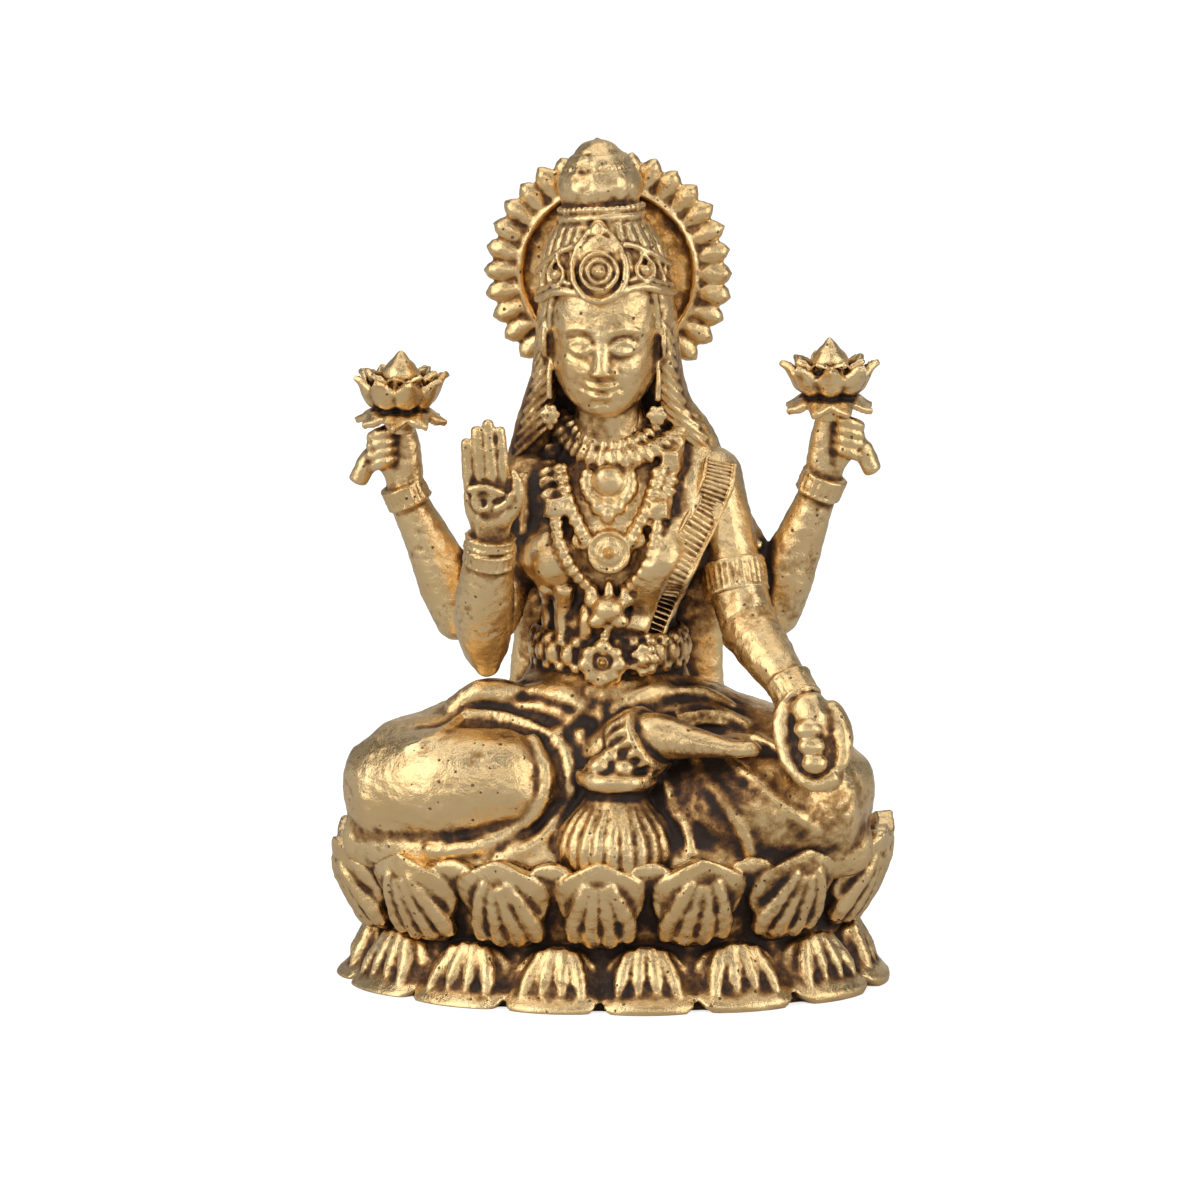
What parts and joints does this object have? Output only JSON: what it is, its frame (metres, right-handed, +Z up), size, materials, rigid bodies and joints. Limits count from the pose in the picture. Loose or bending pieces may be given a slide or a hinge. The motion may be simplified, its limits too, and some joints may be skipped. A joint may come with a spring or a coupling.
{
  "type": "lakshmi figure",
  "caption": "Small solid cast brass figure of Lakshmi, cross-legged on a double lotus plinth, with raised and lowered hands, hand lotuses, a full pot and a rayed halo; a shelf or altar piece.",
  "frame": {"origin": "middle of the plinth's underside, on the surface it stands on", "axes": "+Z up, the figure faces -Y, +X is to the right of a viewer in front of it"},
  "size_m": [0.0264, 0.0176, 0.04],
  "materials": {
    "brass": "cast brass, rubbed pale gold on the high places, ochre on the flats and dark brown in the recesses"
  },
  "bodies": {
    "root": {"lakshmi_figure": "brass"}
  },
  "joints": []
}
